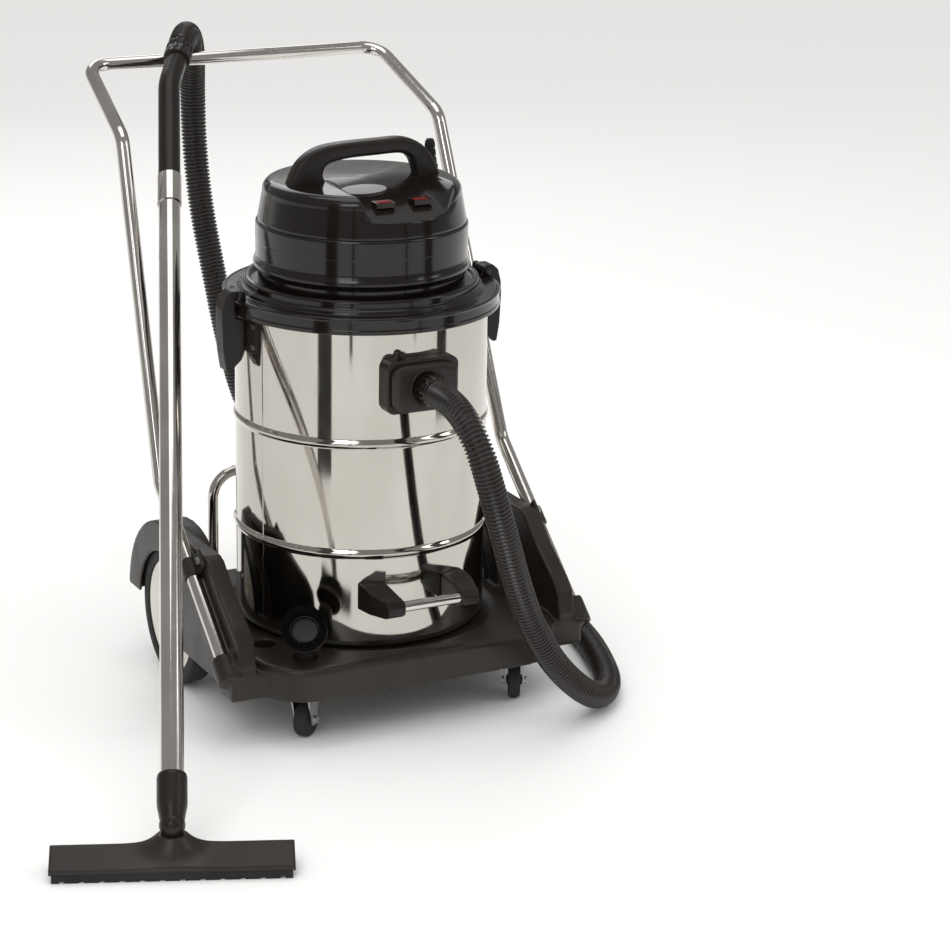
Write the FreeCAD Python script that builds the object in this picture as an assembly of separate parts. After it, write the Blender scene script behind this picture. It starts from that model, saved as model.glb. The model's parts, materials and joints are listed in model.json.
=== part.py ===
"""Tip-and-pour shop vacuum: steel drum on a wheeled cart, with its hose and floor wand.

Millimetres, +Z up, the machine's front towards -Y. Shapes are drawn about the drum's
axis, and the whole model is then moved so that the origin is on the floor, in the middle
of its footprint.
"""
import FreeCAD, Part
import math
import os

V = FreeCAD.Vector
UP = V(0, 0, 1)
ALONG_X = V(1, 0, 0)

FIT = 0.05           # radial play of a running fit
GAP = 0.4            # air between curved neighbours
SHEET = 1.2          # drum and wand steel
WALL = 4.0           # moulded plastic

# drum
DRUM_R = 220.0
DRUM_BOTTOM = 140.5
DRUM_TOP = 722.0
BEAD_HEIGHTS = (313.0, 508.7)
BEAD_RISE = 4.0
BEAD_HALF = 8.0
CATCH_HALF = 44.0

# cart
DECK_HALF_X = 285.0
DECK_FRONT = -273.0
DECK_REAR = 262.0
DECK_CORNER = 98.0
DECK_LOW = 88.0
DECK_TOP = 147.0
DECK_EDGE = 11.0
BOWL_R = 242.0
SOCKET_R = 20.0
SOCKET_DEPTH = 42.0
EMPTY_SOCKET = (-236.0, -118.0)
BRUSH_SOCKET = (-197.0, -201.0)
FENDER_IN = 262.0
FENDER_OUT = 324.0
PLATE_THICK = 32.0

# wheels
REAR_Y = 134.0
REAR_R = 124.0
WHEEL_IN = 270.0
WHEEL_OUT = 315.0
TYRE_THICK = 22.0
AXLE_R = 8.0
ARCH_IN = 133.0
ARCH_OUT = 172.0
LIP_IN = 116.0
CASTER_X = 206.0
CASTER_Y = -209.0
CASTER_R = 32.0
CASTER_TRAIL = 14.0
CASTER_HALF = 11.0
LEFT_CASTER_TURN = -51.0
RIGHT_CASTER_TURN = -28.0

# push handle and rear bar
TUBE_R = 12.5
HANDLE_FOOT = V(338, -176, 150)
HANDLE_KNEE = V(338, 102, 383)
HANDLE_SHOULDER = V(311, 330, 953)
HANDLE_END = V(292, 551, 1043.6)
BAR_R = 9.5
BAR_X = 183.0
BAR_Y = 240.0
BAR_Z = 342.0
BAR_BEND = 48.0
BAR_FOOT = 117.0
PIVOT_X = 70.0

# head
RIM_R = 240.0
RIM_LOW = 704.0
RIM_TOP = 731.6
STEP_R = 204.8
STEP_TOP = 753.0
MOTOR_R = 183.4
MOTOR_LIP_R = 187.7
MOTOR_TOP = 850.0
DOME_TOP = 922.0
DOME_LOW_R = 180.4
DOME_HIGH_R = 171.0
PANEL_X = (-64.0, 86.0)
PANEL_DROP = 42.0
MOTOR_X = 78.0
SWITCH_X = (-14.0, 56.0)
SWITCH_Y = -112.0
GLAND_AT = V(146, 34, 0)
FLOAT_TOP = RIM_TOP - WALL
CAGE_R = 108.0
CAGE_DEEP = 128.0
FILTER_LOW = 560.0
LATCH_HALF = 16.0
LATCH_INNER = 226.0
LATCH_X = 234.0
LATCH_Z = 741.0
LATCH_PIN_R = 3.0

# inlet
INLET_Z = 614.0
INLET_W = 134.0
INLET_H = 92.0
INLET_FACE = -258.0
CUFF_OUT = -296.0
CUFF_R = 25.5

# tilt handle
TILT_X = 54.0
TILT_W = 44.0
TILT_Y = -284.0
TILT_Z = 241.0
TILT_BAR_R = 9.0

# wand
WAND_FOOT = V(-594, -585, 70)
WAND_BEND = V(-182, 430, 1022)
WAND_R = 19.0
GRIP_R = 19.5
WAND_TURN = V(0.497, 0.765, 0.410)
NECK_TOP = 85.0
TUBE_JOINT = 611.0
COLLAR_LOW = 1183.0
GRIP_LOW = 1243.0
SWIVEL_START = 78.0
SWIVEL_END = 122.0
GRIP_END = 100.0
SWIVEL_R = 25.0
TOOL_LENGTH = 376.0
TOOL_DEPTH = 64.0
TOOL_HEIGHT = 40.0
STRIP_HEIGHT = 14.0
STRIP_NOTCHES = 12
NECK_HALF = 16.0
LUG_THICK = 8.5

# dust brush
BRUSH_FACE = V(-0.38, -0.72, 0.58)
BRUSH_KNEE = 38.0

# hose
HOSE_R = 24.0
ARC_SHARE = 0.45
FRONT_ROUTE = (
    (0, -296, 614), (0, -366, 614), (14, -420, 556), (38, -430, 468), (66, -424, 384),
    (96, -412, 300), (134, -396, 214), (204, -372, 112), (292, -350, 36), (366, -276, 24.1),
    (416, -150, 24.1), (452, -20, 24.1), (462, 110, 24.1), (445, 180, 24.1),
)
REAR_ROUTE = (
    (445, 180, 24.1), (428, 250, 24.1), (366, 372, 24.1), (282, 470, 40), (194, 548, 112),
    (104, 596, 216), (40, 612, 346), (4, 616, 480), (-18, 628, 616), (-38, 642, 746),
    (-45, 654, 872), (-48, 650, 980), (-60.2, 617.6, 1044.3), (-75.3, 594.3, 1079.7),
    (-99.015, 557.734, 1090.459), (-121.227, 523.543, 1072.135),
)


def box(x0, x1, y0, y1, z0, z1):
    return Part.makeBox(x1 - x0, y1 - y0, z1 - z0, V(x0, y0, z0))


def rod(radius, start, end):
    return Part.makeCylinder(radius, (end - start).Length, start, end - start)


def ring(outer, inner, start, end):
    return rod(outer, start, end).cut(rod(inner, start, end))


def lathe(profile, centre=V(0, 0, 0)):
    """Solid of revolution about +Z from (radius, height) corners."""
    corners = [V(r, 0, z) for r, z in profile]
    face = Part.Face(Part.makePolygon(corners + corners[:1]))
    solid = face.revolve(V(0, 0, 0), UP, 360)
    solid.translate(centre)
    return solid


def prism(points, direction):
    return Part.Face(Part.makePolygon(list(points) + [points[0]])).extrude(direction)


def side_prism(outline, x0, x1):
    """Prism along X from (y, z) corners."""
    return prism([V(x0, y, z) for y, z in outline], V(x1 - x0, 0, 0))


def mirrored(shape):
    return shape.mirror(V(0, 0, 0), ALONG_X)


def both(shape):
    return [shape, mirrored(shape)]


def fuse(shapes):
    shapes = list(shapes)
    return shapes[0].fuse(shapes[1:]).removeSplitter()


def group(shapes):
    return Part.makeCompound(list(shapes))


def bent_path(points, radius=None):
    """Straight runs joined by tangent arcs. Returns the wire and the radii of its arcs."""
    points = [V(*p) for p in points]
    edges = []
    radii = []
    start = points[0]
    for before, corner, after in zip(points, points[1:], points[2:]):
        run_in = (corner - before).normalize()
        run_out = (after - corner).normalize()
        half_turn = run_in.getAngle(run_out) / 2
        shorter = min((corner - before).Length, (after - corner).Length)
        arc = radius or ARC_SHARE * shorter / math.tan(half_turn)
        reach = arc * math.tan(half_turn)
        first = corner - run_in * reach
        last = corner + run_out * reach
        inward = (run_out - run_in).normalize()
        middle = corner + inward * (arc / math.cos(half_turn) - arc)
        edges.append(Part.LineSegment(start, first).toShape())
        edges.append(Part.Arc(first, middle, last).toShape())
        radii.append(arc)
        start = last
    edges.append(Part.LineSegment(start, points[-1]).toShape())
    return Part.Wire(edges), radii


def swept_tube(points, outer, inner=0.0, radius=None):
    path, radii = bent_path(points, radius)
    start = V(*points[0])
    heading = V(*points[1]) - start

    def sweep(r):
        section = Part.Wire(Part.makeCircle(r, start, heading))
        return path.makePipeShell([section], True, True)

    solid = sweep(outer)
    if inner:
        solid = solid.cut(sweep(inner))
    area = math.pi * (outer ** 2 - inner ** 2)
    return solid, radii, solid.Volume / (area * path.Length)


# ---------------------------------------------------------------- cart

def deck():
    outline = box(-DECK_HALF_X, DECK_HALF_X, DECK_FRONT, DECK_REAR, DECK_LOW, DECK_TOP)
    corners = [e for e in outline.Edges if is_upright(e) and e.BoundBox.YMax < 0]
    outline = outline.makeFillet(DECK_CORNER, corners)
    rear = [e for e in outline.Edges if is_upright(e) and e.BoundBox.YMin > DECK_REAR - 1]
    outline = outline.makeFillet(DECK_CORNER / 3, rear)
    top = [e for e in outline.Edges if e.BoundBox.ZMin > DECK_TOP - 1]
    outline = outline.makeFillet(DECK_EDGE, top)
    bowl = lathe([(0, DRUM_BOTTOM - 0.5), (BOWL_R - 20, DRUM_BOTTOM - 0.5),
                  (BOWL_R, DECK_TOP), (BOWL_R, DECK_TOP + 20), (0, DECK_TOP + 20)])
    return outline.cut(bowl)


def is_upright(edge):
    size = edge.BoundBox
    return size.ZLength > 10 and size.XLength < 0.1 and size.YLength < 0.1


def fender():
    """Mudguard over the right rear wheel, with the side plate that carries the handle."""
    centre = V(FENDER_IN, REAR_Y, REAR_R)
    width = V(FENDER_OUT - FENDER_IN, 0, 0)
    hood = rod(ARCH_OUT, centre, centre + width)
    hood = hood.cut(box(0, 400, REAR_Y + 60, 400, 0, REAR_R + 8))
    hood = hood.cut(box(0, 400, -400, 400, -100, DECK_LOW))
    crest = [(-212, DECK_LOW), (-214, 148), (-204, 186), (-182, 208), (-153, 228), (-122, 250),
             (-96, 274), (-76, 292), (-56, 299), (104, 299), (132, 280)]
    front = side_prism(crest + [(132, DECK_LOW)], FENDER_OUT - PLATE_THICK, FENDER_OUT)
    shell = fuse([hood, front])
    inner = FENDER_OUT - WALL - 0.5
    well = rod(ARCH_IN, centre - V(5, 0, 0), V(inner, REAR_Y, REAR_R))
    well = well.fuse(box(FENDER_IN - 5, inner, REAR_Y - ARCH_IN, 400, 0, REAR_R))
    window = rod(LIP_IN, V(inner - 1, REAR_Y, REAR_R), V(400, REAR_Y, REAR_R))
    window = window.cut(box(0, 500, -400, REAR_Y - 34, 0, 400))
    below = box(inner - 1, 400, REAR_Y - 34, 500, 0, REAR_R)
    return shell.cut(well).cut(window).cut(below)


def handle_socket():
    heading = (HANDLE_KNEE - HANDLE_FOOT).normalize()
    back = HANDLE_FOOT - heading * 44
    block = rod(TUBE_R + 9, back, HANDLE_FOOT + heading * 6)
    web = box(DECK_HALF_X - 30, HANDLE_FOOT.x, -216, -168, DECK_LOW, DECK_TOP - 12)
    block = block.fuse(web).cut(box(0, 500, -400, 0, 0, DECK_LOW - 6))
    return block.cut(rod(TUBE_R, HANDLE_FOOT - heading * 30, HANDLE_FOOT + heading * 40))


def wheel_well():
    """Room for a rear wheel beside and under the deck."""
    well = rod(ARCH_IN, V(FENDER_IN, REAR_Y, REAR_R), V(FENDER_OUT - WALL - 0.5, REAR_Y, REAR_R))
    return well.fuse(box(FENDER_IN, 400, REAR_Y - ARCH_IN, 400, 0, REAR_R))


def cart_body():
    body = deck()
    for side in both(wheel_well()):
        body = body.cut(side)
    body = fuse([body] + both(fender()) + both(handle_socket()))
    body = body.cut(hollow_under_deck())
    for x, y in (EMPTY_SOCKET, BRUSH_SOCKET):
        body = body.cut(rod(SOCKET_R, V(x, y, DECK_TOP - SOCKET_DEPTH), V(x, y, DECK_TOP + 20)))
    for side in both(rod(BAR_R, V(BAR_X, BAR_Y, BAR_FOOT), V(BAR_X, BAR_Y, DECK_TOP + 20))):
        body = body.cut(side)
    return body.cut(rod(AXLE_R, V(-400, REAR_Y, REAR_R), V(400, REAR_Y, REAR_R)))


def hollow_under_deck():
    """The deck is a moulded shell, open below between its ribs and the caster bosses."""
    low = DECK_LOW - 5
    top = DRUM_BOTTOM - 2 * WALL
    middle = box(-150, 150, DECK_FRONT + WALL, REAR_Y - 40, low, top)
    side = box(158, DECK_HALF_X - WALL - 8, -120, -15, low, top)
    return fuse([middle] + both(side.cut(rod(SOCKET_R + WALL, V(236, -118, 0), V(236, -118, 400)))))


def push_handle():
    left = [V(-p.x, p.y, p.z) for p in (HANDLE_FOOT, HANDLE_KNEE, HANDLE_SHOULDER, HANDLE_END)]
    right = [HANDLE_END, HANDLE_SHOULDER, HANDLE_KNEE, HANDLE_FOOT]
    heading = (HANDLE_KNEE - HANDLE_FOOT).normalize() * 29
    left[0] = left[0] - V(-heading.x, heading.y, heading.z)
    right[-1] = right[-1] - heading
    return swept_tube([tuple(p) for p in left + right], TUBE_R, TUBE_R - 1.8, radius=42.0)[0]


def clamp_centre():
    return HANDLE_FOOT + (HANDLE_KNEE - HANDLE_FOOT) * 0.51


def handle_clamp():
    """Collar round the handle tube with an ear bolted to the side plate."""
    heading = (HANDLE_KNEE - HANDLE_FOOT).normalize()
    centre = clamp_centre()
    collar = rod(TUBE_R + 4, centre - heading * 17, centre + heading * 17)
    across = V(0, heading.z, -heading.y)
    ear_in = V(FENDER_OUT, centre.y, centre.z)

    def pad(low, high, thick):
        sides = ((-17, high), (17, high), (17, low), (-17, low))
        return prism([ear_in + heading * a + across * b for a, b in sides], V(thick, 0, 0))

    ear = pad(-38, -6, 6)
    foot = pad(-12, 12, 10)
    bore = rod(TUBE_R, centre - heading * 30, centre + heading * 30)
    hole = rod(4, clamp_bolt_at() - V(20, 0, 0), clamp_bolt_at() + V(20, 0, 0))
    clamp = fuse([collar, ear, foot]).cut(box(0, FENDER_OUT, -400, 400, 0, 600))
    return clamp.cut(bore).cut(hole)


def clamp_bolt_at():
    heading = (HANDLE_KNEE - HANDLE_FOOT).normalize()
    centre = clamp_centre()
    return V(FENDER_OUT + 6, centre.y, centre.z) + V(0, heading.z, -heading.y) * -27


def clamp_bolt():
    at = clamp_bolt_at()
    shank = rod(4, V(FENDER_OUT, at.y, at.z), at)
    head = rod(7, at, at + V(5, 0, 0))
    return fuse([shank, head])


def rear_bar():
    low = BAR_FOOT
    points = ((-BAR_X, BAR_Y, low), (-BAR_X, BAR_Y, BAR_Z), (BAR_X, BAR_Y, BAR_Z), (BAR_X, BAR_Y, low))
    return swept_tube(points, BAR_R, BAR_R - 1.5, radius=BAR_BEND)[0]


def rear_axle():
    end = WHEEL_OUT + 1
    return rod(AXLE_R, V(-end, REAR_Y, REAR_R), V(end, REAR_Y, REAR_R))


def wheel_hub():
    """Moulded disc wheel about X, right-hand side."""
    rim = REAR_R - TYRE_THICK
    middle = (WHEEL_IN + WHEEL_OUT) / 2
    disc = rod(rim, V(WHEEL_IN + 6, REAR_Y, REAR_R), V(WHEEL_OUT - 4, REAR_Y, REAR_R))
    dish = rod(rim - 12, V(WHEEL_IN + 5, REAR_Y, REAR_R), V(middle - 4, REAR_Y, REAR_R))
    boss = rod(22, V(WHEEL_IN, REAR_Y, REAR_R), V(WHEEL_OUT - 4, REAR_Y, REAR_R))
    return disc.cut(dish).fuse(boss).cut(rod(AXLE_R + FIT, V(0, REAR_Y, REAR_R), V(400, REAR_Y, REAR_R)))


def wheel_tyre():
    rim = REAR_R - TYRE_THICK
    tyre = ring(REAR_R, rim, V(WHEEL_IN, REAR_Y, REAR_R), V(WHEEL_OUT, REAR_Y, REAR_R))
    outer = [e for e in tyre.Edges if abs(e.BoundBox.ZLength - 2 * REAR_R) < 1 and e.BoundBox.XLength < 1]
    return tyre.makeFillet(10, outer)


def axle_cap():
    at = V(WHEEL_OUT - 4, REAR_Y, REAR_R)
    cap = rod(15, at + V(0.5, 0, 0), at + V(7.5, 0, 0))
    return cap.cut(rod(AXLE_R, at, at + V(5, 0, 0)))


def caster_plate(x):
    plate = box(x - 24, x + 24, CASTER_Y - 24, CASTER_Y + 24, DECK_LOW - 2.5, DECK_LOW)
    cup = rod(15, V(x, CASTER_Y, DECK_LOW - 8), V(x, CASTER_Y, DECK_LOW - 2))
    return fuse([plate, cup])


def swivelled(shape, x):
    """Turn a caster piece about its own pivot to the angle it stands at."""
    turn = LEFT_CASTER_TURN if x < 0 else RIGHT_CASTER_TURN
    shape.rotate(V(x, CASTER_Y, 0), UP, turn)
    return shape


def caster_fork(x):
    top = DECK_LOW - 8 - GAP
    y = CASTER_Y + CASTER_TRAIL
    crown = box(x - 18, x + 18, CASTER_Y - 16, y + 12, top - 3, top)
    cheek = prism([V(x + 15, CASTER_Y - 12, top - 1), V(x + 15, y + 12, top - 1),
                   V(x + 15, y + 9, CASTER_R - 9), V(x + 15, y - 9, CASTER_R - 9)], V(3, 0, 0))
    other = cheek.mirror(V(x, 0, 0), ALONG_X)
    fork = fuse([crown, cheek, other])
    return swivelled(fork.cut(rod(4, V(x - 30, y, CASTER_R), V(x + 30, y, CASTER_R))), x)


def caster_pin(x):
    y = CASTER_Y + CASTER_TRAIL
    shaft = rod(4, V(x - 20, y, CASTER_R), V(x + 20, y, CASTER_R))
    ends = [rod(6.5, V(x + s * 18, y, CASTER_R), V(x + s * 22, y, CASTER_R)) for s in (-1, 1)]
    return swivelled(fuse([shaft] + ends), x)


def caster_wheel(x):
    y = CASTER_Y + CASTER_TRAIL
    wheel = rod(CASTER_R, V(x - CASTER_HALF, y, CASTER_R), V(x + CASTER_HALF, y, CASTER_R))
    wheel = wheel.makeFillet(5, [e for e in wheel.Edges if e.BoundBox.XLength < 1])
    hub = rod(9, V(x - 14, y, CASTER_R), V(x + 14, y, CASTER_R))
    wheel = wheel.fuse(hub).cut(rod(4 + FIT, V(x - 30, y, CASTER_R), V(x + 30, y, CASTER_R)))
    return swivelled(wheel, x)


# ---------------------------------------------------------------- drum

def drum():
    """Open steel drum with two rolled beads and a rolled bottom edge."""
    outer = [(0, DRUM_BOTTOM), (DRUM_R - 14, DRUM_BOTTOM), (DRUM_R - 4, DRUM_BOTTOM + 4),
             (DRUM_R, DRUM_BOTTOM + 14)]
    for z in BEAD_HEIGHTS:
        outer += [(DRUM_R, z - BEAD_HALF), (DRUM_R + BEAD_RISE, z - 3), (DRUM_R + BEAD_RISE, z + 3),
                  (DRUM_R, z + BEAD_HALF)]
    outer += [(DRUM_R, DRUM_TOP)]
    inner = [(r - SHEET if r else 0, z + (SHEET if z == DRUM_BOTTOM else 0)) for r, z in outer]
    shell = lathe(outer + inner[::-1])
    mouth = rod(27, V(0, -DRUM_R - 20, INLET_Z), V(0, -DRUM_R + 40, INLET_Z))
    return shell.cut(mouth)


def on_drum(shape, play=0.0):
    """Cut away what would reach into the drum's wall."""
    return shape.cut(rod(DRUM_R + play, V(0, 0, 0), V(0, 0, DRUM_TOP + 100)))


def drum_gasket():
    return ring(DRUM_R + 3, DRUM_R - 4, V(0, 0, DRUM_TOP), V(0, 0, RIM_TOP - WALL))


def catch_plate():
    plate = ring(DRUM_R + 3, DRUM_R, V(0, 0, 640), V(0, 0, 700))
    plate = plate.common(box(0, 300, -CATCH_HALF, CATCH_HALF, 0, 900))
    for at, out in rivet_places():
        plate = plate.cut(rod(3, at - out * 5, at + out * 10))
    return plate


def rivet_places():
    for y in (-CATCH_HALF + 8, CATCH_HALF - 8):
        for z in (652, 688):
            out = V(math.sqrt(DRUM_R ** 2 - y ** 2), y, 0).normalize()
            yield out * DRUM_R + V(0, 0, z), out


def rivets():
    made = []
    for at, out in rivet_places():
        shank = rod(3, at + out * 0.3, at + out * 3)
        head = rod(5, at + out * 3, at + out * 5)
        made += both(shank.fuse(head))
    return group(made)


def rounded_block(w, h, y0, y1, z, corner):
    block = box(-w / 2, w / 2, y0, y1, z - h / 2, z + h / 2)
    along = [e for e in block.Edges if e.BoundBox.YLength > 5 and e.BoundBox.XLength < 0.1]
    return block.makeFillet(corner, along)


def inlet_flange():
    pad = rounded_block(INLET_W, INLET_H, -242, -180, INLET_Z, 16)
    tab = rod(8, V(-35, -228, INLET_Z + 50), V(-35, -180, INLET_Z + 50))
    pad = on_drum(pad.fuse(tab))
    return pad.cut(rod(27, V(0, -300, INLET_Z), V(0, 0, INLET_Z)))


def inlet_box():
    block = rounded_block(INLET_W - 12, INLET_H - 12, INLET_FACE, -242, INLET_Z, 14)
    front = [e for e in block.Edges if e.BoundBox.YMax < INLET_FACE + 0.1]
    block = block.makeFillet(6, front)
    return block.cut(rod(CUFF_R - 5, V(0, -300, INLET_Z), V(0, 0, INLET_Z)))


def inlet_screws():
    """One screw in the flange's top tab and two in its lower edge."""
    made = [rod(4, V(-35, -232, INLET_Z + 52), V(-35, -228, INLET_Z + 52))]
    for x in (-30, 30):
        low = INLET_Z - INLET_H / 2
        made.append(rod(3.5, V(x, -233, low - 2), V(x, -233, low)))
    return group(made)


def inlet_deflector():
    """Elbow inside the drum that turns the incoming air down."""
    points = ((0, -242, INLET_Z), (0, -150, INLET_Z), (0, -150, INLET_Z - 80))
    return swept_tube(points, 24, 20.5 + FIT, radius=44.0)[0]


def inlet_cuff():
    """Ribbed swivel cuff of the hose, running in the inlet."""
    spigot = rod(20, V(0, -250, INLET_Z), V(0, INLET_FACE - 1, INLET_Z))
    sleeve = rod(CUFF_R, V(0, INLET_FACE - 0.5, INLET_Z), V(0, CUFF_OUT, INLET_Z))
    ribs = []
    for i in range(12):
        angle = math.radians(30 * i)
        at = V(CUFF_R * math.cos(angle), 0, CUFF_R * math.sin(angle) + INLET_Z)
        ribs.append(rod(1.8, at + V(0, INLET_FACE - 3, 0), at + V(0, CUFF_OUT + 6, 0)))
    body = fuse([spigot, sleeve] + ribs)
    return body.cut(rod(17, V(0, 0, INLET_Z), V(0, -400, INLET_Z)))


def tilt_bracket():
    arm = side_prism([(-190, 214), (-190, 262), (-222, 262), (-270, 256), (-292, 254), (-298, 244),
                      (-297, 231), (-286, 224)], TILT_X, TILT_X + TILT_W)
    arm = arm.cut(prism([V(TILT_X + 28, -310, 0), V(TILT_X + TILT_W + 1, -310, 0),
                         V(TILT_X + TILT_W + 1, -240, 0)], V(0, 0, 400)))
    arm = on_drum(arm)
    return arm.cut(rod(TILT_BAR_R, V(0, TILT_Y, TILT_Z), V(TILT_X + 14, TILT_Y, TILT_Z)))


def tilt_bar():
    end = TILT_X + 14
    return ring(TILT_BAR_R, TILT_BAR_R - 1.5, V(-end, TILT_Y, TILT_Z), V(end, TILT_Y, TILT_Z))


def pivot_hook():
    """Bracket on the drum's back that turns on the rear bar."""
    block = box(PIVOT_X - 16, PIVOT_X + 16, 180, BAR_Y, BAR_Z - 15, BAR_Z + 15)
    eye = rod(15, V(PIVOT_X - 16, BAR_Y, BAR_Z), V(PIVOT_X + 16, BAR_Y, BAR_Z))
    bracket = on_drum(block.fuse(eye))
    return bracket.cut(rod(BAR_R + FIT, V(0, BAR_Y, BAR_Z), V(200, BAR_Y, BAR_Z)))


# ---------------------------------------------------------------- head

def head_rim():
    """Collar that closes the drum, with the floor that the motors stand on."""
    rim = lathe([(RIM_R, RIM_LOW), (RIM_R, RIM_TOP - 2), (RIM_R - 2, RIM_TOP), (STEP_R, RIM_TOP),
                 (STEP_R, STEP_TOP - 2), (STEP_R - 2, STEP_TOP), (192, STEP_TOP), (192, STEP_TOP - 8),
                 (20, STEP_TOP - 8), (20, RIM_TOP - WALL), (RIM_R - WALL, RIM_TOP - WALL),
                 (RIM_R - WALL, RIM_LOW)])
    for x in (-MOTOR_X, MOTOR_X):
        rim = rim.cut(rod(24, V(x, 0, 600), V(x, 0, 800)))
    lugs = []
    for y in (-LATCH_HALF - 4, LATCH_HALF + 4):
        ear = rod(7, V(LATCH_X, y - 3, LATCH_Z), V(LATCH_X, y + 3, LATCH_Z))
        lugs += both(ear.fuse(box(LATCH_X - 7, LATCH_X + 3, y - 3, y + 3, RIM_TOP - 1, LATCH_Z)))
    rim = fuse([rim] + lugs)
    for side in (-1, 1):
        x = side * LATCH_X
        rim = rim.cut(rod(LATCH_PIN_R + FIT, V(x, -50, LATCH_Z), V(x, 50, LATCH_Z)))
    return rim


def latch():
    """Lever that hangs from the rim's right side and swings outwards, with its own pin."""
    outline = [(LATCH_X, LATCH_Z + 6.5), (250, 747), (260, 738), (266, 716), (267, 690), (265, 640),
               (260, 608), (254, 606), (232, 626), (LATCH_INNER, 640), (LATCH_INNER, 694), (231, 698),
               (243, 700), (243, LATCH_Z - 7), (LATCH_X, LATCH_Z - 6.5)]
    lever = prism([V(x, -LATCH_HALF, z) for x, z in outline], V(0, 2 * LATCH_HALF, 0))
    eye = rod(6.5, V(LATCH_X, -LATCH_HALF, LATCH_Z), V(LATCH_X, LATCH_HALF, LATCH_Z))
    reach = LATCH_HALF + 7.5
    pin = rod(LATCH_PIN_R, V(LATCH_X, -reach, LATCH_Z), V(LATCH_X, reach, LATCH_Z))
    return fuse([lever, eye, pin])


def motor_housing():
    """Lower tier of the head."""
    low = STEP_TOP - 8
    return lathe([(MOTOR_R - 4, low), (MOTOR_R - 4, 766), (MOTOR_LIP_R, 770), (MOTOR_LIP_R, 780),
                  (MOTOR_R, 786), (MOTOR_R, MOTOR_TOP), (MOTOR_R - WALL, MOTOR_TOP),
                  (MOTOR_R - WALL - 4, low)])


def dome():
    """Upper tier, with the sloping switch panel let into its front."""
    solid = lathe([(0, MOTOR_TOP), (DOME_LOW_R, MOTOR_TOP), (DOME_HIGH_R, DOME_TOP - 12),
                   (DOME_HIGH_R - 12, DOME_TOP), (0, DOME_TOP)])
    solid = solid.cut(panel_cut(0))
    inside = lathe([(0, MOTOR_TOP - 1), (DOME_LOW_R - WALL, MOTOR_TOP - 1),
                    (DOME_HIGH_R - WALL, DOME_TOP - 14), (DOME_HIGH_R - 16, DOME_TOP - WALL),
                    (0, DOME_TOP - WALL)])
    inside = inside.cut(panel_cut(WALL))
    return solid.cut(inside)


def panel_height(y):
    return DOME_TOP + PANEL_DROP * y / DOME_HIGH_R


def panel_cut(wall):
    x0, x1 = PANEL_X[0] - wall, PANEL_X[1] + wall
    outline = [(wall, DOME_TOP - wall), (wall, DOME_TOP + 30), (-260, DOME_TOP + 30),
               (-260, panel_height(-260) - wall)]
    return side_prism(outline, x0, x1)


def carry_handle():
    outer = [V(-142, 0, 918), (V(-112, 0, 972)), V(-82, 0, 984), V(90, 0, 984), V(110, 0, 972),
             V(146, 0, 908)]
    inner = [V(72, 0, 908), V(63, 0, 955), V(-60, 0, 955), V(-72, 0, 918)]
    grip = prism([p + V(0, -17, 0) for p in outer + inner], V(0, 34, 0))
    grip = grip.cut(lathe([(0, 800), (DOME_HIGH_R, 800), (DOME_HIGH_R, DOME_TOP - 12),
                           (DOME_HIGH_R - 12, DOME_TOP), (0, DOME_TOP)]))
    return grip.cut(box(PANEL_X[0], PANEL_X[1], -20, 0, DOME_TOP - 20, DOME_TOP))


def switch_axis_z():
    return panel_height(SWITCH_Y) + 5


def switch_frame():
    made = []
    for x in SWITCH_X:
        z = panel_height(SWITCH_Y)
        frame = box(x - 17, x + 17, SWITCH_Y - 12, SWITCH_Y + 12, z - 1, z + 7.5)
        frame = frame.cut(box(x - 14, x + 14, SWITCH_Y - 9, SWITCH_Y + 9, z - 3, z + 9))
        frame = frame.cut(rocker_pivot(x, FIT)).cut(below_panel())
        made.append(frame)
    return group(made)


def below_panel():
    outline = [(60, 860), (60, panel_height(60)), (-260, panel_height(-260)), (-260, 860)]
    return side_prism(outline, -200, 200)


def rocker_pivot(x, play=0.0):
    z = switch_axis_z()
    return rod(1.5 + play, V(x - 16, SWITCH_Y, z), V(x + 16, SWITCH_Y, z))


def rocker(x):
    z = switch_axis_z()
    outline = [(SWITCH_Y - 8, z - 1.5), (SWITCH_Y - 8, z + 4), (SWITCH_Y, z + 1.5), (SWITCH_Y + 8, z + 2.5),
               (SWITCH_Y + 8, z - 1.0), (SWITCH_Y, z - 3)]
    return fuse([side_prism(outline, x - 13, x + 13), rocker_pivot(x)])


def badge():
    centre = V(-20, -48, panel_height(-48))
    tilt = math.degrees(math.atan(PANEL_DROP / DOME_HIGH_R))
    oval = Part.Ellipse(V(0, 0, 0), 42, 18).toShape()
    plate = Part.Face(Part.Wire(oval)).extrude(V(0, 0, 1.6))
    plate.rotate(V(0, 0, 0), ALONG_X, tilt)
    plate.translate(centre)
    return plate.cut(below_panel())


def cord_gland():
    return lathe([(0, DOME_TOP), (15, DOME_TOP), (14, DOME_TOP + 8), (10, DOME_TOP + 40), (5, DOME_TOP + 40),
                  (5, DOME_TOP + 4), (0, DOME_TOP + 4)], GLAND_AT)


def motor(x):
    """Bypass motor can with the bearing bores that its shaft turns in."""
    low = STEP_TOP - 8
    can = rod(60, V(x, 0, low), V(x, 0, low + 86))
    can = can.cut(rod(56, V(x, 0, low + 4), V(x, 0, low + 82)))
    can = can.cut(rod(24, V(x, 0, low - 1), V(x, 0, low + 5)))
    return can.cut(rod(5 + FIT, V(x, 0, low + 50), V(x, 0, low + 100)))


def rotor(x):
    """Armature, shaft and fan."""
    low = STEP_TOP - 8
    shaft = rod(5, V(x, 0, low + 6), V(x, 0, low + 90))
    fan = rod(52, V(x, 0, low + 10), V(x, 0, low + 24))
    armature = rod(28, V(x, 0, low + 32), V(x, 0, low + 74))
    return fuse([shaft, fan, armature])


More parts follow.
